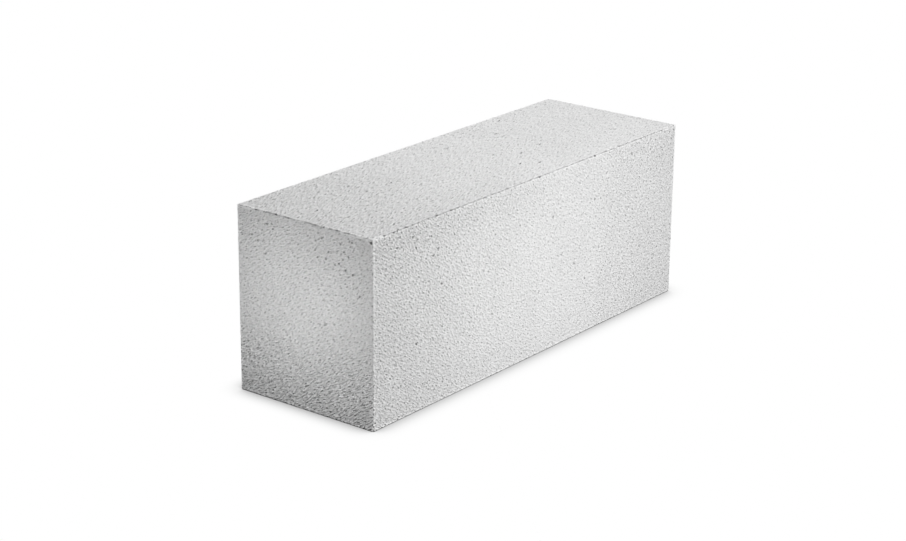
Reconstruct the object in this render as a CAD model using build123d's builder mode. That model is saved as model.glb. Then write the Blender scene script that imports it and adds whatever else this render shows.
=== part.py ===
"""Aerated concrete block, in millimetres.

One piece of autoclaved foam concrete, wire-cut to a plain cuboid with no grips, grooves or holes.
It stands on its lower bed face. +X runs along its length and +Z is up.
The origin is the middle of the lower bed face.
"""

import os

from build123d import *

# Driving dimensions
BLOCK_LENGTH = 600.0  # along X, the length that such blocks are laid in a course
BLOCK_WIDTH = 200.0  # along Y, across the end face
BLOCK_HEIGHT = 225.0  # along Z, as the block stands
ARRIS_RADIUS = 1.5  # the cut edges are soft, and handling rubs them round

# Block: the bed face drawn at the floor, raised to the full height, with every edge and corner worn
with BuildPart() as block:
    with BuildSketch(Plane.XY) as bed_face:
        Rectangle(BLOCK_LENGTH, BLOCK_WIDTH)
    extrude(amount=BLOCK_HEIGHT)
    fillet(block.edges(), radius=ARRIS_RADIUS)
block.part.label = "block"

os.makedirs("parts", exist_ok=True)
export_step(block.part, "parts/block.step")
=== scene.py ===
# %% [markdown]
# # An aerated concrete block
#
# The real object is one piece of foam concrete. Gas swells the wet mix like bread dough, tight wires cut
# the soft cake into blocks, and steam hardens them. What is left to see is a plain cuboid, pale grey and
# matte, whose flat faces are full of bubbles that the wire has cut open.
#
# This lesson starts from the CAD model, which gives the exact size and place. The camera comes first, then
# the looks: the open bubbles, the worn arrises and the grain of the concrete. The floor and the light come
# last.

# %% The frame that the CAD model gives
from collections import namedtuple
from itertools import combinations, product
from math import cos, pi, radians, sin, sqrt

import bpy
import numpy as np
from mathutils import Matrix, Vector


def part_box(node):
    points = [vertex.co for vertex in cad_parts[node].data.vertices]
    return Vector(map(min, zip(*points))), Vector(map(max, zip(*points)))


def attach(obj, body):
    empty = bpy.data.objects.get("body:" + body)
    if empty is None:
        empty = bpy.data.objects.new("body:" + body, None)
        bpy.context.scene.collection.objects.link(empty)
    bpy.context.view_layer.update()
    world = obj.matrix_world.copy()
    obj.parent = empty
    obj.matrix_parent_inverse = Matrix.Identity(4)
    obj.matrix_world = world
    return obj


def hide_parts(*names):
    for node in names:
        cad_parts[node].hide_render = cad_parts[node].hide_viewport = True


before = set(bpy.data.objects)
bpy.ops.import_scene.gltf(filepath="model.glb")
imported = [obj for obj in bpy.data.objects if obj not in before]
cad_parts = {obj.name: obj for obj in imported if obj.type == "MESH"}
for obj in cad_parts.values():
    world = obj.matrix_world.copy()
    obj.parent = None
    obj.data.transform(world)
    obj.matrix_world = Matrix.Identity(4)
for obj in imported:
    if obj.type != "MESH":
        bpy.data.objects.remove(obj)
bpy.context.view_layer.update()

MM = 0.001
block_low, block_high = (np.array(corner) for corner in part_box("block"))
CENTRE = (block_low + block_high) / 2
HALF = (block_high - block_low) / 2
LENGTH, WIDTH, HEIGHT = 2 * HALF
print(f"the block is {LENGTH / MM:.1f} x {WIDTH / MM:.1f} x {HEIGHT / MM:.1f} mm")

# %% [markdown]
# ## The camera
#
# The camera comes first, because every later choice is judged through it. It could be nudged about until
# the outline fits. Here its place was worked out from where the corners of the block lie in the picture:
# a long lens that looks down by about nineteen degrees, past the corner between the near end and the long
# side.

# %% Camera
CAMERA_PLACE = (-2.038, -1.564, 0.9865)
CAMERA_HEADING = radians(-52.07)  # 0 looks along +Y
CAMERA_DIP = radians(19.31)  # below the horizon
CAMERA_ROLL = radians(0.53)
CAMERA_LENS = 88.6  # mm
CAMERA_SENSOR = 36.0  # mm wide

bpy.ops.object.select_all(action="DESELECT")
bpy.ops.object.camera_add(location=CAMERA_PLACE)
camera = bpy.context.object
camera.name = "camera"
heading = Matrix.Rotation(CAMERA_HEADING, 3, "Z")
dip = Matrix.Rotation(pi / 2 - CAMERA_DIP, 3, "X")
roll = Matrix.Rotation(CAMERA_ROLL, 3, "Z")
camera.rotation_euler = (heading @ dip @ roll).to_euler()
camera.data.lens = CAMERA_LENS
camera.data.sensor_width = CAMERA_SENSOR
bpy.context.scene.camera = camera
print(f"camera {camera.location.length:.2f} m from the origin")

# %% [markdown]
# ## The blank
#
# Before its bubbles are opened, the block is a cuboid with rubbed edges. A cube primitive at the CAD
# model's size, bevelled along every edge, is all that this takes. Its faces are then bisected into
# squares. That changes no shape, but the thousands of cuts to come are then stitched up square by square,
# and not with needle triangles that run the whole length of a face.

# %% Blank with rounded arrises
ARRIS = 1.5 * MM  # radius, as in the CAD model
ARRIS_STEPS = 3
ARC = 0.5  # the profile of a bevel that is part of a circle
SQUARE = 25 * MM

bpy.ops.object.select_all(action="DESELECT")
bpy.ops.mesh.primitive_cube_add(size=1.0, location=CENTRE)
block = bpy.context.object
block.name = "aerated_block"
block.scale = (LENGTH, WIDTH, HEIGHT)
bpy.ops.object.transform_apply(location=True, rotation=True, scale=True)
bpy.ops.object.mode_set(mode="EDIT")
bpy.ops.mesh.select_all(action="SELECT")
bpy.ops.mesh.bevel(offset=ARRIS, offset_type="OFFSET", segments=ARRIS_STEPS, profile=ARC, affect="EDGES")
for axis in np.eye(3):
    span = 2 * HALF @ axis
    cuts = round(span / SQUARE)
    for step in range(1, cuts):
        on_plane = CENTRE + axis * span * (step / cuts - 0.5)
        bpy.ops.mesh.select_all(action="SELECT")
        bpy.ops.mesh.bisect(plane_co=on_plane, plane_no=axis)
bpy.ops.object.mode_set(mode="OBJECT")
print(f"blank: {len(block.data.polygons)} faces")

# %% [markdown]
# ## The six faces and their flat maps
#
# Each face gets its own directions: across it, up it and out of it. With these a bubble can be placed on
# any face by the same few lines. The same directions lay the six faces side by side on one flat map, like
# the sides of a box cut open, so that finishes which are later painted onto the mesh have an even scale.
# An unwrap operator could do that too, but it would cut the map at every bubble.
#
# The wire saws to and fro while it is drawn through the soft cake. It drags the mix a little, so the
# bubbles and crumbs are longer one way and seem to lie in slanting streaks. Each face therefore has a
# slant of its own and a length and width of its crumbs, and a second map that is counted in crumbs along
# and across its streaks.

# %% Directions of a face
Face = namedtuple("Face", "name middle across up out width height corner streak drift crumb")
X, Y, Z = np.eye(3)


def face_of_block(name, across, up, corner, slant, crumb):
    """A face whose streaks are turned by that many degrees from across towards up."""
    out = np.cross(across, up)
    streak = cos(radians(slant)) * across + sin(radians(slant)) * up
    return Face(
        name=name,
        middle=CENTRE + out * (np.abs(out) @ HALF),
        across=across,
        up=up,
        out=out,
        width=2 * np.abs(across) @ HALF,
        height=2 * np.abs(up) @ HALF,
        corner=np.array(corner),
        streak=streak,
        drift=np.cross(out, streak),
        crumb=crumb,
    )


print("a face knows its", ", ".join(Face._fields))

# %% Six faces side by side on the map
MAP_GAP = 8 * MM  # between two faces on the map
SIDE_CRUMB = np.array([4.5, 2.45]) * MM  # length and width
BED_CRUMB = np.array([8.8, 2.55]) * MM
END_CRUMB = np.array([5.0, 1.95]) * MM
SIDE_SLANT = 146  # degrees
BED_SLANT = 19
END_SLANT = 33

ROW_2 = MAP_GAP + HEIGHT + MAP_GAP
ROW_3 = ROW_2 + HEIGHT + MAP_GAP
ROW_4 = ROW_3 + WIDTH + MAP_GAP
END_COLUMN = MAP_GAP + LENGTH + MAP_GAP
MAP_SIZE = ROW_4 + WIDTH + MAP_GAP

faces = [
    face_of_block("front", X, Z, (MAP_GAP, MAP_GAP), SIDE_SLANT, SIDE_CRUMB),
    face_of_block("back", -X, Z, (MAP_GAP, ROW_2), SIDE_SLANT, SIDE_CRUMB),
    face_of_block("top", X, Y, (MAP_GAP, ROW_3), BED_SLANT, BED_CRUMB),
    face_of_block("under", X, -Y, (MAP_GAP, ROW_4), BED_SLANT, BED_CRUMB),
    face_of_block("near end", -Y, Z, (END_COLUMN, MAP_GAP), END_SLANT, END_CRUMB),
    face_of_block("far end", Y, Z, (END_COLUMN, ROW_2), END_SLANT, END_CRUMB),
]
named = {face.name: face for face in faces}
print(f"map: {len(faces)} faces in a square of {MAP_SIZE / MM:.0f} mm")

# %% Spots on the two maps
MAP_NAME = "OFBake"
STREAK_MAP = "streaks"
PATCH = 3.0 / MM  # crumbs on the second map for each metre on the first, so that no face repeats another


def spots_on_map(face, points):
    """Where points land on the map when they are pressed flat onto a face."""
    offset = points - face.middle
    sideways = offset @ face.across + face.width / 2 + face.corner[0]
    upwards = offset @ face.up + face.height / 2 + face.corner[1]
    return np.stack([sideways, upwards], axis=-1) / MAP_SIZE


def spots_in_streaks(face, points):
    """How many crumbs along and across the streaks of a face points lie."""
    offset = points - face.middle
    return np.stack([offset @ face.streak, offset @ face.drift], axis=-1) / face.crumb + PATCH * face.corner


MAPS = {MAP_NAME: spots_on_map, STREAK_MAP: spots_in_streaks}
outs = np.array([face.out for face in faces])
for map_name, spots in MAPS.items():
    layer = block.data.uv_layers.new(name=map_name)
    for polygon in block.data.polygons:
        nearest = faces[int(np.argmax(outs @ np.array(polygon.normal)))]
        for loop in polygon.loop_indices:
            corner = block.data.vertices[block.data.loops[loop].vertex_index].co
            layer.data[loop].uv = spots(nearest, np.array(corner))
block.data.uv_layers.remove(block.data.uv_layers["UVMap"])
block.data.uv_layers[MAP_NAME].active = True
print("maps on the blank:", [layer.name for layer in block.data.uv_layers])

# %% [markdown]
# ## Room for the bubbles
#
# Bubbles in a foam crowd each other but don't run together. So every bubble that is placed takes up room:
# a ball around its middle and a smaller one at either end, because most bubbles are drawn out. The next
# bubble is only placed where its own balls are free. To find the neighbours quickly, the balls are kept
# in a grid of cells, and only the cells around a place are looked into.

# %% Room that is taken
CELL = 10 * MM  # wider than the largest two balls that can touch
AROUND = np.array(list(product((-1, 0, 1), repeat=3)))
taken = {}


def is_free(place, reach):
    """True if a ball at that place touches none that is already there."""
    for cell in np.floor(place / CELL).astype(int) + AROUND:
        for other, other_reach in taken.get(tuple(cell), ()):
            gap = place - other
            if gap @ gap < (reach + other_reach) ** 2:
                return False
    return True


def take(place, reach):
    """Notes a ball in its cell."""
    cell = tuple(np.floor(place / CELL).astype(int))
    taken.setdefault(cell, []).append((place, reach))


print(f"{len(AROUND)} cells are looked into for each ball")

# %% Room for one bubble
WALL = 1.0 * MM  # concrete that each bubble keeps at its sides
END_WALL = 0.4 * MM  # and at its ends
END_BALL = 0.6  # in radii of the bubble


def claim(place, along, radius, stretch):
    """Takes the room for a bubble that is drawn out along a line. False if some of it is taken."""
    tail = along * radius * max(stretch - END_BALL, 0.0)
    end_reach = radius * END_BALL + END_WALL
    balls = [(place, radius + WALL), (place - tail, end_reach), (place + tail, end_reach)]
    if not all(is_free(spot, reach) for spot, reach in balls):
        return False
    for spot, reach in balls:
        take(spot, reach)
    return True


print(f"a bubble keeps about {WALL / MM} mm clear at its sides and {END_WALL / MM} mm at its ends")

# %% [markdown]
# ## One bubble
#
# A bubble needs very few faces, because there are thousands of them. Each is a ring of uneven corners
# with one point above and one below. Where the ring stands just above the face, it cuts a shallow dimple.
# Where the ring lies under the face and its upper point stands far out, it cuts a cup with steep walls,
# as a bubble does that the wire opened above its widest part.

# %% Shapes of bubbles
Shape = namedtuple("Shape", "ring tip bottom sides")  # heights over the surface, in radii
DIMPLE = Shape(ring=0.12, tip=0.7, bottom=-1.25, sides=6)
SMALL_DIMPLE = Shape(ring=0.15, tip=0.8, bottom=-1.4, sides=5)
CUP = Shape(ring=-0.4, tip=4.0, bottom=-1.3, sides=7)
CHIP = Shape(ring=0.3, tip=1.2, bottom=-0.9, sides=7)
BITE = Shape(ring=0.25, tip=1.2, bottom=-1.0, sides=8)
print(f"rings of {SMALL_DIMPLE.sides} to {BITE.sides} corners")

# %% Corners of one bubble
SEED = 2024
RING_SHIFT = 0.25  # how unevenly its corners are spaced, in steps round the ring
RING_SWELL = (0.82, 1.18)  # how far out they lie, in radii
LEAN = 0.25  # how far the lowest point may lie from the middle, in radii
DEPTHS = (0.85, 1.15)  # least and most, in depths of the shape

random = np.random.default_rng(SEED)
bubbles = []


def open_bubble(face, place, across, up, radius, shape, stretch):
    """Keeps the corners of one bubble: its ring, the point above it and the point below it."""
    out = np.cross(across, up)
    steps = np.arange(shape.sides) + random.uniform(-RING_SHIFT, RING_SHIFT, shape.sides)
    turns = random.uniform(0, 2 * pi) + steps * 2 * pi / shape.sides
    swell = radius * random.uniform(*RING_SWELL, shape.sides)
    lean = radius * random.uniform(-LEAN, LEAN, 2)
    sink = radius * shape.bottom * random.uniform(*DEPTHS)
    ring = place + np.outer(swell * stretch * np.cos(turns), across) + np.outer(swell * np.sin(turns), up)
    ring = ring + out * shape.ring * radius
    tip = place + out * shape.tip * radius
    bottom = place + across * lean[0] + up * lean[1] + out * sink
    bubbles.append((face, np.vstack([ring, tip, bottom])))


print(f"random numbers start from {SEED}")

# %% [markdown]
# ## Chips along the arrises
#
# The edges of such a block crumble when it is stacked and carried. Each chip is the same kind of bubble,
# drawn out along the arris and turned so that it bites the edge from the diagonal. They are placed before
# the bubbles, which then keep clear of them. The edge of the near end is the most worn one, and the long
# upper arris has some larger bites, most of them close to the front corner. One deep bubble lies open right
# under that corner, so it gets its place before the chips that fall anywhere.

# %% Arrises
Arris = namedtuple("Arris", "face middle along across length")
ARRIS_SINK = ARRIS * (sqrt(2) - 1)  # from the sharp corner in to the rounded one

arrises = {}
for one, other in combinations(faces, 2):
    if one.out @ other.out == 0:
        out = (one.out + other.out) / sqrt(2)
        along = np.cross(one.out, other.out)
        corner = CENTRE + (one.out + other.out) * HALF
        arrises[one.name, other.name] = Arris(
            face=one,
            middle=corner - out * ARRIS_SINK,
            along=along,
            across=np.cross(out, along),
            length=2 * np.abs(along) @ HALF,
        )
print(f"{len(arrises)} arrises")

# %% Chips at known places
LONG_ARRIS_BITES = (20, 36, 59, 111, 137, 149, 226, 305, 420)  # mm from the front corner
LONG_ARRIS_RADII = (2.4, 2.9)  # mm, least and most
LONG_ARRIS_STRETCH = (1.1, 1.5)
END_ARRIS_BITES = (35, 52, 71, 83, 123, 141, 159, 171)
END_ARRIS_RADII = (2.2, 2.7)
END_ARRIS_STRETCH = (0.9, 1.2)


def chip(arris, shift, radius, stretch, shape):
    """Bites an arris at a distance from its middle, if there is room."""
    place = arris.middle + arris.along * shift
    if claim(place, arris.along, radius, stretch):
        open_bubble(arris.face, place, arris.along, arris.across, radius, shape, stretch)


def bite_arris(arris, bites, radii, stretches):
    """Bites an arris at each of the distances from the front corner."""
    for from_corner in bites:
        shift = arris.length / 2 - from_corner * MM
        chip(arris, shift, random.uniform(*radii) * MM, random.uniform(*stretches), BITE)


bite_arris(arrises["front", "top"], LONG_ARRIS_BITES, LONG_ARRIS_RADII, LONG_ARRIS_STRETCH)
bite_arris(arrises["top", "near end"], END_ARRIS_BITES, END_ARRIS_RADII, END_ARRIS_STRETCH)
print(f"{len(bubbles)} chips on the two upper arrises of the front corner")

# %% Deep bubble at the front corner
TOWARDS_CORNER = {"near end": 1, "front": -1}  # which way across the face the front corner lies
CORNER_PIT_RADIUS = 1.8 * MM
CORNER_PIT_FROM_ARRIS = 2.6 * MM
CORNER_PIT_FROM_TOP = 4.2 * MM
DEEP_STRETCH = 1.3


def by_front_corner(face, from_arris, from_top):
    """A place on a face, by its distances from the upright arris of the front corner and from the top."""
    sideways = TOWARDS_CORNER[face.name] * (face.width / 2 - from_arris)
    return face.middle + face.across * sideways + face.up * (face.height / 2 - from_top)


def bubble_on_face(face, place, radius, shape, stretch):
    """Opens a bubble that lies along the streaks of a face. False if there is no room."""
    if not claim(place, face.streak, radius, stretch):
        return False
    open_bubble(face, place, face.streak, face.drift, radius, shape, stretch)
    return True


near_end = named["near end"]
corner_pit = by_front_corner(near_end, CORNER_PIT_FROM_ARRIS, CORNER_PIT_FROM_TOP)
opened = bubble_on_face(near_end, corner_pit, CORNER_PIT_RADIUS, CUP, DEEP_STRETCH)
print(f"deep bubble at {corner_pit.round(4)}: {opened}")

# %% Chips anywhere
CHIPS_PER_METRE = 60
CHIP_RADII = (1.0, 1.6)  # mm, least and most
CHIP_STRETCH = (0.9, 2.2)
CHIP_REACH = 0.48  # how far from the middle of its arris a chip may lie, in lengths of the arris

for arris in arrises.values():
    for attempt in range(round(CHIPS_PER_METRE * arris.length)):
        shift = random.uniform(-CHIP_REACH, CHIP_REACH) * arris.length
        chip(arris, shift, random.uniform(*CHIP_RADII) * MM, random.uniform(*CHIP_STRETCH), CHIP)
print(f"{len(bubbles)} chips and deep bubbles so far")

# %% [markdown]
# ## Bubbles on the faces
#
# Most of the open bubbles are two or three millimetres wide and drawn out along the streaks, and a few
# are wider and deeper. Those show as dark spots, most of them in loose clusters high up on the near end
# and close to the front corner, so these clusters come first. Then the faces are filled from large to
# small. The finest pores of all are left to the material.

# %% Clusters of deep bubbles
Cluster = namedtuple("Cluster", "face from_arris from_top half_width half_height count")
CLUSTERS = [
    Cluster("near end", 60 * MM, 28 * MM, 32 * MM, 22 * MM, 16),
    Cluster("near end", 165 * MM, 24 * MM, 22 * MM, 18 * MM, 7),
    Cluster("front", 70 * MM, 28 * MM, 60 * MM, 20 * MM, 8),
]
CLUSTER_RADII = (1.4, 1.75)  # mm, least and most

for cluster in CLUSTERS:
    face = named[cluster.face]
    placed = 0
    while placed < cluster.count:
        from_arris = cluster.from_arris + random.uniform(-1, 1) * cluster.half_width
        from_top = cluster.from_top + random.uniform(-1, 1) * cluster.half_height
        place = by_front_corner(face, from_arris, from_top)
        radius = random.uniform(*CLUSTER_RADII) * MM
        if bubble_on_face(face, place, radius, CUP, DEEP_STRETCH):
            placed += 1
print(f"{len(CLUSTERS)} clusters, {sum(cluster.count for cluster in CLUSTERS)} deep bubbles")

# %% Bubbles, from large to small
Size = namedtuple("Size", "smallest largest count shape")
SIZES = [
    Size(smallest=1.4 * MM, largest=1.8 * MM, count=50, shape=CUP),
    Size(smallest=1.15 * MM, largest=1.5 * MM, count=3500, shape=DIMPLE),
    Size(smallest=0.9 * MM, largest=1.15 * MM, count=6500, shape=SMALL_DIMPLE),
]
BUBBLE_STRETCH = (0.6, 0.95)  # least and most, beside how far the crumbs of the face are drawn out
areas = np.array([face.width * face.height for face in faces])
shares = areas / areas.sum()

for size in SIZES:
    placed = 0
    while placed < size.count:
        face = faces[random.choice(len(faces), p=shares)]
        radius = random.uniform(size.smallest, size.largest)
        sideways, upwards = random.uniform(-0.5, 0.5, 2) * (face.width, face.height)
        place = face.middle + face.across * sideways + face.up * upwards
        stretch = random.uniform(*BUBBLE_STRETCH) * face.crumb[0] / face.crumb[1]
        if bubble_on_face(face, place, radius, size.shape, stretch):
            placed += 1
print(f"{len(bubbles)} bubbles and chips")

# %% [markdown]
# ## Cutting the bubbles open
#
# All bubbles are joined in one mesh of their own. A Boolean modifier takes them out of the blank in one
# go, and it carries the maps and the smooth shading over to the walls of the pits: the bubbles are shaded
# smooth and the blank flat, so that each rim stays sharp. Afterwards the faces are made triangles, and
# short ones where a choice is left.

# %% Triangles of the bubbles
triangles = []
first = 0
for face, corners in bubbles:
    sides = len(corners) - 2
    tip = first + sides
    bottom = tip + 1
    for step in range(sides):
        here = first + step
        after = first + (step + 1) % sides
        triangles.append((here, after, tip))
        triangles.append((after, here, bottom))
    first = bottom + 1
print(f"{first} corners, {len(triangles)} triangles")

# %% All bubbles as one mesh
foam_mesh = bpy.data.meshes.new("foam")
foam_mesh.from_pydata(np.vstack([corners for face, corners in bubbles]), [], triangles)
for map_name, spots in MAPS.items():
    layer = foam_mesh.uv_layers.new(name=map_name)
    foam_spots = np.vstack([spots(face, corners) for face, corners in bubbles])
    layer.data.foreach_set("uv", foam_spots[np.array(triangles).ravel()].ravel())
foam = bpy.data.objects.new("foam", foam_mesh)
bpy.context.scene.collection.objects.link(foam)
bpy.ops.object.select_all(action="DESELECT")
foam.select_set(True)
bpy.context.view_layer.objects.active = foam
bpy.ops.object.shade_smooth()
print(f"foam: {len(foam_mesh.polygons)} faces")

# %% Foam cut out of the blank
bpy.ops.object.select_all(action="DESELECT")
block.select_set(True)
bpy.context.view_layer.objects.active = block
cut = block.modifiers.new("open_bubbles", "BOOLEAN")
cut.operation = "DIFFERENCE"
cut.object = foam
cut.solver = "MANIFOLD"
bpy.ops.object.modifier_apply(modifier=cut.name)
bpy.data.objects.remove(foam)
bpy.data.meshes.remove(foam_mesh)
print(f"block with open bubbles: {len(block.data.polygons)} faces")

# %% Short triangles
FLAT = radians(1.0)  # two triangles that meet at less than this count as one flat face

bpy.ops.object.mode_set(mode="EDIT")
bpy.ops.mesh.select_all(action="SELECT")
bpy.ops.mesh.quads_convert_to_tris(quad_method="BEAUTY", ngon_method="BEAUTY")
bpy.ops.mesh.beautify_fill(angle_limit=FLAT)
bpy.ops.object.mode_set(mode="OBJECT")
smooth = sum(polygon.use_smooth for polygon in block.data.polygons)
print(f"block: {len(block.data.polygons)} triangles, {smooth} of them in pits")

# %% [markdown]
# ## The concrete
#
# The finish is matte and almost without colour. What makes it look like aerated concrete is small: pits
# that get painted shade, darker the deeper they go, pores too fine to model, crumbs between them, and worn
# arrises. The pores, crumbs and arrises also get painted shade in their hollows and painted highlights on
# what stands out.
# A picture could be painted onto the map, but it would blur up close. Here everything is worked out by
# nodes, from Object coordinates, which stay put on the block, or from the second map, which follows the
# streaks.

# %% Helpers for the nodes
concrete = bpy.data.materials.new("pored_concrete")
concrete.use_nodes = True
tree = concrete.node_tree  # the helpers add their nodes to the tree that has this name
tree.nodes.clear()


def node(kind, **settings):
    """Adds a node and sets its options by name."""
    made = tree.nodes.new(kind)
    for name, value in settings.items():
        setattr(made, name, value)
    return made


def feed(target, socket, source):
    """Links an output into a socket, or writes a plain value there."""
    if isinstance(source, bpy.types.NodeSocket):
        tree.links.new(source, target.inputs[socket])
    else:
        target.inputs[socket].default_value = source


def worked_out(kind, operation, sources):
    """The result of a node that works out one value from others."""
    made = node(kind, operation=operation)
    for socket, source in enumerate(sources):
        feed(made, socket, source)
    return made.outputs[0]


def maths(operation, *sources):
    """The result of a Math node, a number."""
    return worked_out("ShaderNodeMath", operation, sources)


def vector(operation, *sources):
    """The result of a Vector Math node, three numbers."""
    return worked_out("ShaderNodeVectorMath", operation, sources)


print("material:", concrete.name)

# %% Helpers for slow changes
def ramp(source, span, at_start, at_end):
    """Goes smoothly from one value to another while the source goes through a span."""
    start, end = span
    made = node("ShaderNodeMapRange", interpolation_type="SMOOTHSTEP")
    feed(made, "Value", source)
    feed(made, "From Min", start)
    feed(made, "From Max", end)
    feed(made, "To Min", at_start)
    feed(made, "To Max", at_end)
    return made.outputs[0]


def blend(share, at_none, at_all):
    """Goes smoothly from one value to another while a share goes from none to all."""
    return ramp(share, (0.0, 1.0), at_none, at_all)


def product_of(first_factor, *factors):
    """All factors multiplied."""
    result = first_factor
    for factor in factors:
        result = maths("MULTIPLY", result, factor)
    return result


block_place = node("ShaderNodeTexCoord").outputs["Object"]
print(f"places on the block: {block_place.name} coordinates")

# %% Painted shade in the pits, by depth under the faces
SKIN = (2.0 * MM, 4.0 * MM)  # a face has its own looks down to the first depth and none from the second
# pits get painted shade, darker the deeper they go and darker in the long sides than elsewhere
PIT = (0.15 * MM, 1.2 * MM)  # depths over which a pit darkens
DEEP_PIT = (1.2 * MM, 2.1 * MM)
SIDE_PIT_SHADE = 0.64  # darker in the long sides than elsewhere
OTHER_PIT_SHADE = 0.79
DEEP_PIT_SHADE = 0.7

off_centre = vector("ABSOLUTE", vector("SUBTRACT", block_place, tuple(CENTRE)))
inset = node("ShaderNodeSeparateXYZ")
feed(inset, 0, vector("SUBTRACT", tuple(HALF), off_centre))
in_x, in_y, in_z = inset.outputs
depth = maths("MINIMUM", maths("MINIMUM", in_x, in_y), in_z)
pit_dark = ramp(in_y, SKIN, SIDE_PIT_SHADE, OTHER_PIT_SHADE)
shallow_shade = ramp(depth, PIT, 1.0, pit_dark)
deep_shade = ramp(depth, DEEP_PIT, 1.0, DEEP_PIT_SHADE)
pit_painted_shade = maths("MULTIPLY", shallow_shade, deep_shade)
print(f"shade in the pits: {len(tree.nodes)} nodes so far")

# %% [markdown]
# ## Worn arrises, with painted highlight and painted shade
#
# Where hands, straps and other blocks rub an arris, it turns paler, most of all at the corners of the near
# end, and there it also gets a painted highlight. Away from the corners the top and the long sides get a
# painted highlight along the arrises and the ends painted shade, and the arris at the foot gets painted
# light, where the white floor would light it. Where the upper arrises crumble, their tiny chips would
# leave a thin broken line of shadow, which is painted shade here, and the chips along them get painted
# shade inside. Thousands more chips could be cut for that, but at this size painted shade does the same.
# All of it hangs on how far a point lies from the nearest arris or corner, which the distances to the
# faces give.

# %% Distances to arrises and corners
position = node("ShaderNodeSeparateXYZ")
feed(position, 0, block_place)
from_near_end = maths("SUBTRACT", position.outputs[0], block_low[0])
above_floor = maths("SUBTRACT", position.outputs[2], block_low[2])
below_top = maths("SUBTRACT", block_high[2], position.outputs[2])
to_side = maths("MINIMUM", in_x, in_y)
to_upright = maths("MAXIMUM", in_x, in_y)
to_level = maths("MAXIMUM", to_side, in_z)
to_upper = maths("MAXIMUM", to_side, below_top)
to_arris = maths("MINIMUM", to_upright, to_level)
to_corner = maths("MAXIMUM", to_upright, in_z)
to_near_corner = maths("MAXIMUM", to_corner, from_near_end)
past_end = maths("SUBTRACT", in_x, maths("MINIMUM", in_y, in_z))  # below 0 on the ends
on_end = ramp(in_x, SKIN, 1.0, 0.0)
on_side = ramp(in_y, SKIN, 1.0, 0.0)
print(f"distances: {len(tree.nodes)} nodes so far")

# %% Painted shade along the crumbled upper arrises
PATCH_SIZE = 9 * MM
SIDE_PATCHES = (0.35, 0.65)  # spans of the noise
END_PATCHES = (0.42, 0.58)
SIDE_LINE = (0.56, 0.80)  # darkest and palest shade
END_LINE = (0.64, 1.0)
LINE_START = (8 * MM, 40 * MM)  # from a corner
LINE_WIDTH = (0.8 * MM, 1.8 * MM)


def noise(size, coordinates, detail=1.0, roughness=0.5):
    """Cloudy noise whose largest clouds are about that size."""
    made = node("ShaderNodeTexNoise")
    feed(made, "Vector", coordinates)
    feed(made, "Scale", 1 / size)
    feed(made, "Detail", detail)
    feed(made, "Roughness", roughness)
    return made


# a thin broken line of painted shade, where tiny chips would cast their shadows
patchy = noise(PATCH_SIZE, block_place).outputs[0]
side_line = ramp(patchy, SIDE_PATCHES, *SIDE_LINE)
end_line = ramp(patchy, END_PATCHES, *END_LINE)
crumbled = ramp(to_corner, LINE_START, 1.0, blend(on_end, side_line, end_line))
crumble_painted_shade = ramp(to_upper, LINE_WIDTH, crumbled, 1.0)
print(f"crumbled line: {len(tree.nodes)} nodes so far")

# %% Worn arrises, with painted highlight and painted shade
NEAR_CORNER = (15 * MM, 60 * MM)
# pale near the corners of the near end from wear and a painted highlight; away from them a painted
# highlight on the top and the long sides and painted shade on the ends
TOP_WEAR_AND_HIGHLIGHT = (1.28, 1.13)  # at a corner of the near end and away from it
END_WEAR_AND_SHADE = (1.20, 0.97)
# painted light on the arris that the block stands on, where the white floor would light it
FOOT_PAINTED_LIGHT = 1.3  # palest where the block stands on it
END_TURN = (-0.9 * MM, 0.1 * MM)  # where an arris turns away from the end
FOOT_TURN = (0.6 * MM, 1.6 * MM)
RUB_WIDTH = (1.6 * MM, 4.0 * MM)

top_wear_and_highlight = ramp(to_near_corner, NEAR_CORNER, *TOP_WEAR_AND_HIGHLIGHT)
end_wear_and_shade = ramp(to_near_corner, NEAR_CORNER, *END_WEAR_AND_SHADE)
# painted highlight on the top and the long sides, painted shade on the ends
wear_and_light_above = ramp(past_end, END_TURN, end_wear_and_shade, top_wear_and_highlight)  # paler on the top and the long sides
wear_and_light = ramp(above_floor, FOOT_TURN, FOOT_PAINTED_LIGHT, wear_and_light_above)
wear_and_painted_light = ramp(to_arris, RUB_WIDTH, wear_and_light, 1.0)
print(f"rubbed arrises: {len(tree.nodes)} nodes so far")

# %% Painted shade in the chips
CHIP_WIDTH = (2.5 * MM, 4.0 * MM)  # from the arris
CHIP_DEPTH = (0.3 * MM, 0.9 * MM)
# painted shade at the bottom of a chip, where its walls would shade it
CHIP_PAINTED_SHADE = 0.5

near_arris = ramp(to_arris, CHIP_WIDTH, 1.0, 0.0)
bitten = ramp(depth, CHIP_DEPTH, 0.0, CHIP_PAINTED_SHADE)
chip_painted_shade = maths("SUBTRACT", 1.0, maths("MULTIPLY", near_arris, bitten))
print(f"worn arrises: {len(tree.nodes)} nodes so far")

# %% [markdown]
# ## Where the surface is rougher
#
# The wire doesn't tear the foam evenly. The surface is roughest near the near end, under the long upper
# arrises there and at the foot of the ends. The foot of the ends also gets painted shade, darker towards
# the floor, and a band under the upper arrises of the long sides gets painted shade near the near end. One
# number says how strong the fine texture is, and it changes slowly over the block. A second material could
# do the same, but it would show a seam.

# %% Rougher places, and painted shade at the foot and under the arrises
FOOT_HEIGHT = (5 * MM, 135 * MM)
# painted shade at the foot of the ends, darker towards the floor
FOOT_SHADE_HEIGHT = (5 * MM, 50 * MM)
FOOT_PAINTED_SHADE = 0.95
BAND_HEIGHT = (8 * MM, 50 * MM)  # below the top
BAND_LENGTH = (200 * MM, 450 * MM)  # from the near end
# painted shade in a band under the upper arrises of the long sides
BAND_PAINTED_SHADE = 0.975
FAR_LENGTH = (350 * MM, 500 * MM)  # from the near end

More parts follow.
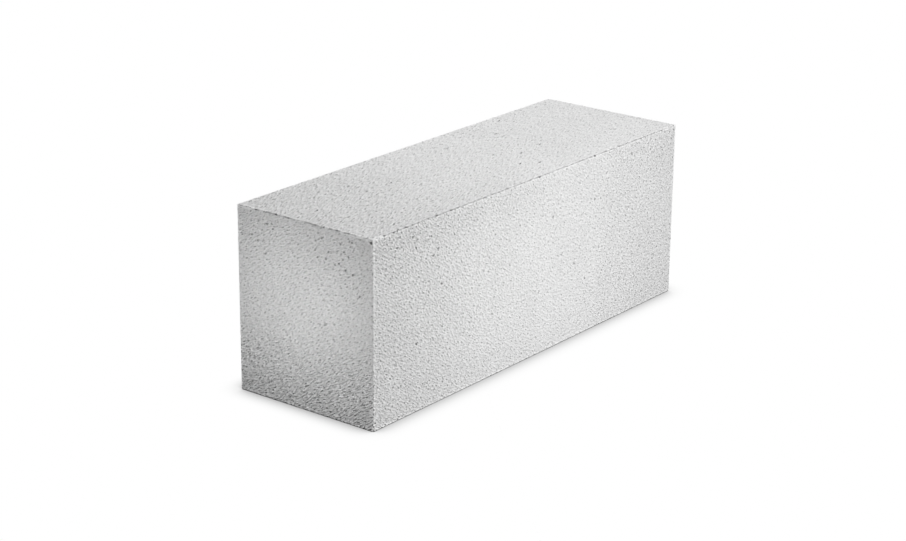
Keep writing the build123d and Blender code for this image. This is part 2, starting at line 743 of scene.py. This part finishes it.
foot = maths("MULTIPLY", on_end, ramp(above_floor, FOOT_HEIGHT, 1.0, 0.0))
foot_shade_share = maths("MULTIPLY", on_end, ramp(above_floor, FOOT_SHADE_HEIGHT, 1.0, 0.0))
foot_painted_shade = blend(foot_shade_share, 1.0, FOOT_PAINTED_SHADE)
under_arris = maths("MULTIPLY", on_side, ramp(below_top, BAND_HEIGHT, 1.0, 0.0))
band = maths("MULTIPLY", under_arris, ramp(from_near_end, BAND_LENGTH, 1.0, 0.0))
band_painted_shade = blend(band, 1.0, BAND_PAINTED_SHADE)
far_side = maths("MULTIPLY", on_side, ramp(from_near_end, FAR_LENGTH, 0.0, 1.0))
print(f"rougher places: {len(tree.nodes)} nodes so far")

# %% Strength of the fine texture
FADE_LENGTH = (0.0, 350 * MM)  # from the near end
NEAR_CONTRAST = 1.08
FAR_CONTRAST = 0.74
END_CONTRAST = 0.80
FOOT_CONTRAST = 1.45
BAND_CONTRAST = 1.15
FAR_SIDE_CONTRAST = 1.3

along_contrast = ramp(from_near_end, FADE_LENGTH, NEAR_CONTRAST, FAR_CONTRAST)
end_contrast = blend(foot, blend(on_end, 1.0, END_CONTRAST), FOOT_CONTRAST)
band_contrast = blend(band, 1.0, BAND_CONTRAST)
far_side_contrast = blend(far_side, 1.0, FAR_SIDE_CONTRAST)
contrast = product_of(along_contrast, end_contrast, band_contrast, far_side_contrast)
print(f"strength of the texture: {len(tree.nodes)} nodes so far")

# %% [markdown]
# ## Pores and crumbs too fine to model
#
# Between the modelled bubbles lie pores of less than a millimetre and crumbs of the torn foam. Each pore
# is a cell of a Voronoi texture: sunk in the middle, with painted shade there, and with a raised rim that
# gets a painted highlight. Noise gives the crumbs, with painted shade where they are low and painted light
# where they are high. Both take the second map, slightly bent by a swirl, so they lie in the streaks
# without being ruled. They paint shade and light into the colour and, through a Bump node, shade the real
# light.

# %% Bent streaks
SWIRL_SIZE = 1.2  # in crumbs, the unit of the second map
SWIRL_REACH = 0.5  # in crumbs
NOISE_MIDDLE = (0.5, 0.5, 0.5)

streaks = node("ShaderNodeUVMap", uv_map=STREAK_MAP).outputs[0]
swirl = noise(SWIRL_SIZE, streaks).outputs["Color"]
bend = vector("SCALE", vector("SUBTRACT", swirl, NOISE_MIDDLE))
feed(bend.node, "Scale", SWIRL_REACH)
bent = vector("ADD", streaks, bend)
print(f"bent streaks: {len(tree.nodes)} nodes so far")

# %% Small pores with painted shade in them and painted highlights on their rims
SCATTER = 0.85  # 0 would set the pores in rows
SHADE_RISE = (0.35, 1.1)  # from the middle of a pore to its rim, in sizes of the pore
WALL_RISE = (0.2, 1.1)
RIM_FALL = (1.2, 2.2)  # from the rim to the surface around it
RIM_HEIGHT = 0.2  # in depths of the pore


def pore_field(spacing, smallest, largest, dark, rim, sink):
    """Scattered pores: a relief, and painted shade in the sunk middle and a painted highlight on the raised
    rim.
    """
    cells = node("ShaderNodeTexVoronoi", voronoi_dimensions="2D", feature="F1")
    feed(cells, "Vector", bent)
    feed(cells, "Scale", 1 / spacing)
    feed(cells, "Randomness", SCATTER)
    dice = node("ShaderNodeSeparateXYZ")
    feed(dice, 0, cells.outputs["Color"])
    pore_size = blend(dice.outputs[0], smallest, largest)
    wall = maths("DIVIDE", cells.outputs["Distance"], pore_size)
    hole_painted_shade = ramp(wall, SHADE_RISE, dark, rim)
    rim_painted_highlight = ramp(wall, RIM_FALL, 1.0, 1.0 / rim)
    hole_relief = ramp(wall, WALL_RISE, -sink, RIM_HEIGHT * sink)
    rim_relief = ramp(wall, RIM_FALL, 0.0, -RIM_HEIGHT * sink)
    return maths("MULTIPLY", hole_painted_shade, rim_painted_highlight), maths("ADD", hole_relief, rim_relief)


pore_painted_light, pore_relief = pore_field(
    spacing=2.1, smallest=0.14, largest=0.26, dark=0.72, rim=1.08, sink=0.7
)
pinhole_painted_light, pinhole_relief = pore_field(
    spacing=1.35, smallest=0.16, largest=0.30, dark=0.84, rim=1.06, sink=0.4
)
print(f"pores and pinholes: {len(tree.nodes)} nodes so far")

# %% Crumbs, grain and mottle
SHADE_CLOUDS = (0.3, 0.7)  # spans of the noise
RELIEF_CLOUDS = (0.25, 0.75)
CRUMB_SIZE = 1.0  # in crumbs
CRUMB_PAINTED_LIGHT = (0.92, 1.08)
CRUMB_HEIGHTS = (-0.35, 0.35)
COARSE_SIZE = 1.3  # in crumbs, only at the foot of the ends
COARSE_PAINTED_LIGHT = (-0.09, 0.09)
COARSE_HEIGHTS = (-0.4, 0.4)
GRAIN_SIZE = 1.4 * MM
GRAIN_HEIGHTS = (-0.12, 0.12)
MOTTLE_SIZE = 70 * MM
MOTTLE_SHADES = (0.98, 1.02)

# crumbs and coarse crumbs get painted shade where their relief is low and painted light where it is high;
# the mottle is the concrete's own random tone
crumbs = noise(CRUMB_SIZE, bent, detail=0.0).outputs[0]
crumb_painted_light = ramp(crumbs, SHADE_CLOUDS, *CRUMB_PAINTED_LIGHT)
crumb_relief = ramp(crumbs, RELIEF_CLOUDS, *CRUMB_HEIGHTS)
coarse = noise(COARSE_SIZE, bent, detail=0.0).outputs[0]
coarse_painted_light = maths("MULTIPLY_ADD", foot, ramp(coarse, SHADE_CLOUDS, *COARSE_PAINTED_LIGHT), 1.0)
coarse_relief = maths("MULTIPLY", foot, ramp(coarse, RELIEF_CLOUDS, *COARSE_HEIGHTS))
grain = noise(GRAIN_SIZE, block_place, detail=2.0, roughness=0.6).outputs[0]
grain_relief = ramp(grain, RELIEF_CLOUDS, *GRAIN_HEIGHTS)
mottle = noise(MOTTLE_SIZE, block_place, detail=2.0).outputs[0]
mottle_shade = ramp(mottle, SHADE_CLOUDS, *MOTTLE_SHADES)
print(f"crumbs, grain and mottle: {len(tree.nodes)} nodes so far")

# %% Colour
CONCRETE_GREY = (0.70, 0.70, 0.70)

# the grey times painted shade and painted light from the pits, pores, crumbs, arrises, foot and band, the
# wear of the arrises, and the mottle's own tone
full_shade = product_of(pore_painted_light, pinhole_painted_light, crumb_painted_light)
fine_shade = maths("MULTIPLY_ADD", maths("SUBTRACT", full_shade, 1.0), contrast, 1.0)
painted_shades_and_wear = (crumble_painted_shade, wear_and_painted_light, chip_painted_shade, foot_painted_shade, band_painted_shade)
shade = product_of(pit_painted_shade, fine_shade, coarse_painted_light, mottle_shade, *painted_shades_and_wear)
tint = vector("SCALE", CONCRETE_GREY)
feed(tint.node, "Scale", shade)
print(f"colour: {len(tree.nodes)} nodes so far")

# %% Relief
RELIEF_HEIGHT = 1.0 * MM  # what 1 stands for in the heights above

relief = pore_relief
for more in (pinhole_relief, crumb_relief, coarse_relief, grain_relief):
    relief = maths("ADD", relief, more)
bump = node("ShaderNodeBump")
feed(bump, "Strength", 1.0)
feed(bump, "Distance", RELIEF_HEIGHT)
feed(bump, "Height", maths("MULTIPLY", relief, contrast))
print(f"relief: {len(tree.nodes)} nodes so far")

# %% Matte surface
ROUGHNESS = (0.88, 1.0)
GLOSS = 0.25

surface = node("ShaderNodeBsdfPrincipled")
feed(surface, "Base Color", tint)
feed(surface, "Roughness", ramp(grain, SHADE_CLOUDS, *ROUGHNESS))
feed(surface, "Specular IOR Level", GLOSS)
feed(surface, "Normal", bump.outputs[0])
concrete_output = node("ShaderNodeOutputMaterial")
feed(concrete_output, "Surface", surface.outputs[0])
block.data.materials.clear()
block.data.materials.append(concrete)
print(f"concrete: {len(tree.nodes)} nodes")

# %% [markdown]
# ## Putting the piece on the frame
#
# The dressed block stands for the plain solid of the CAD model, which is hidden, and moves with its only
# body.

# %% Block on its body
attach(block, "root")
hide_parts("block")
print(f"{block.name} rides on root and stands for block")

# %% [markdown]
# ## Floor and background
#
# The block stands on pure white. Light strong enough to bleach a floor would bleach the block too, so the
# floor and the world are white only for the rays that the camera sees them by, and a plain grey for all
# other light. What the picture shows of the block's shadow is the narrow dark seam where it stands. That
# is where the block shuts out most of the sky, so the white is taken back by how much of the sky is shut
# out close by. The long side in front gets more light than the end, and its seam is thinner, so the sky
# is asked for with a small lean to the front.

# %% Floor
FLOOR_SIZE = 12.0

bpy.ops.object.select_all(action="DESELECT")
bpy.ops.mesh.primitive_plane_add(size=FLOOR_SIZE, location=(0.0, 0.0, block_low[2]))
floor = bpy.context.object
floor.name = "floor"
print(f"floor: {FLOOR_SIZE} m square")

# %% White on the floor
FLOOR_LIT = 0.25  # how much light it throws back at the block
SHADOW_REACH = 32 * MM
SHADOW_DEPTH = 0.52
SHADOW_FALL = 1.8  # how quickly it fades
SHADOW_LEAN = 0.12  # towards the front, where the floor is lit best
SKY_RAYS = 16
AT_A_WALL = 2.0  # at the foot of a wall half of the sky is shut out, and that counts as all

paper = bpy.data.materials.new("white_floor")
paper.use_nodes = True
tree = paper.node_tree
tree.nodes.clear()


def seen_directly():
    """1 for what the camera sees, also in a gloss or through glass, and 0 for light on its way."""
    rays = node("ShaderNodeLightPath").outputs
    mirrored = maths("MAXIMUM", rays["Is Glossy Ray"], rays["Is Transmission Ray"])
    return maths("MAXIMUM", rays["Is Camera Ray"], mirrored)


matte = node("ShaderNodeBsdfDiffuse")
feed(matte, "Color", (FLOOR_LIT, FLOOR_LIT, FLOOR_LIT, 1.0))
sky_left = node("ShaderNodeAmbientOcclusion", samples=SKY_RAYS)
feed(sky_left, "Distance", SHADOW_REACH)
feed(sky_left, "Normal", vector("NORMALIZE", (0.0, -SHADOW_LEAN, 1.0)))
shut_out = maths("SUBTRACT", 1.0, sky_left.outputs["AO"])
shadow = maths("POWER", maths("MULTIPLY", shut_out, AT_A_WALL), SHADOW_FALL)
white = node("ShaderNodeEmission")
feed(white, "Strength", maths("SUBTRACT", 1.0, maths("MULTIPLY", shadow, SHADOW_DEPTH)))
both = node("ShaderNodeMixShader")
feed(both, 0, seen_directly())
feed(both, 1, matte.outputs[0])
feed(both, 2, white.outputs[0])
floor_output = node("ShaderNodeOutputMaterial")
feed(floor_output, "Surface", both.outputs[0])
floor.data.materials.append(paper)
print(f"{paper.name}: {len(tree.nodes)} nodes")

# %% White world with a dim dome
DOME = 0.15

world = bpy.data.worlds.new("studio")
bpy.context.scene.world = world
world.use_nodes = True
tree = world.node_tree
tree.nodes.clear()
sky = node("ShaderNodeBackground")
feed(sky, "Color", (1.0, 1.0, 1.0, 1.0))
feed(sky, "Strength", blend(seen_directly(), DOME, 1.0))
world_output = node("ShaderNodeOutputWorld")
feed(world_output, "Surface", sky.outputs[0])
print(f"world: white to the camera, {DOME} as light")

# %% [markdown]
# ## Light
#
# One large lamp far away would light each face evenly. In the picture the light fades over every face:
# the end is brightest in its middle, the long side past its middle, and the top towards its far end. Soft
# lamps of the size of the block, close to it, give that. Two from above light the top, two from the front
# the long side, and a small one the end. Two low ones behind show the hidden faces to other views and
# don't reach the faces in front.

# %% Softboxes
def softbox(name, place, aim, size, power):
    """A rectangular lamp that looks at a point. The camera doesn't see the lamp itself."""
    bpy.ops.object.select_all(action="DESELECT")
    bpy.ops.object.light_add(type="AREA", location=place)
    lamp = bpy.context.object
    lamp.name = name
    lamp.rotation_euler = (Vector(aim) - Vector(place)).to_track_quat("-Z", "Y").to_euler()
    lamp.data.shape = "RECTANGLE"
    lamp.data.size, lamp.data.size_y = size
    lamp.data.energy = power
    lamp.visible_camera = False


softbox("high_softbox", place=(0.5, 0.8, 1.3), aim=(0.0, 0.0, 0.15), size=(0.6, 0.6), power=10.1)
softbox("top_softbox", place=(0.05, -0.35, 0.95), aim=(0.05, -0.05, 0.2), size=(0.9, 0.5), power=4.6)
softbox("side_softbox", place=(0.1, -0.85, 0.2), aim=(0.05, -0.1, 0.12), size=(0.8, 0.4), power=2.82)
softbox("low_side_softbox", place=(0.0, -0.6, 0.08), aim=(0.0, -0.1, 0.08), size=(0.6, 0.1), power=1.2)
softbox("end_softbox", place=(-0.52, 0.0, 0.128), aim=(-0.3, 0.0, 0.128), size=(0.18, 0.10), power=0.395)
softbox("back_softbox", place=(0.0, 0.8, 0.115), aim=(0.0, 0.1, 0.115), size=(0.8, 0.2), power=2.5)
softbox("far_end_softbox", place=(0.75, 0.0, 0.115), aim=(0.3, 0.0, 0.115), size=(0.4, 0.2), power=0.8)

# %% [markdown]
# ## Colours as they are written
#
# The Standard view shows a grey as the number that was written for it.

# %% View
bpy.context.scene.view_settings.view_transform = "Standard"
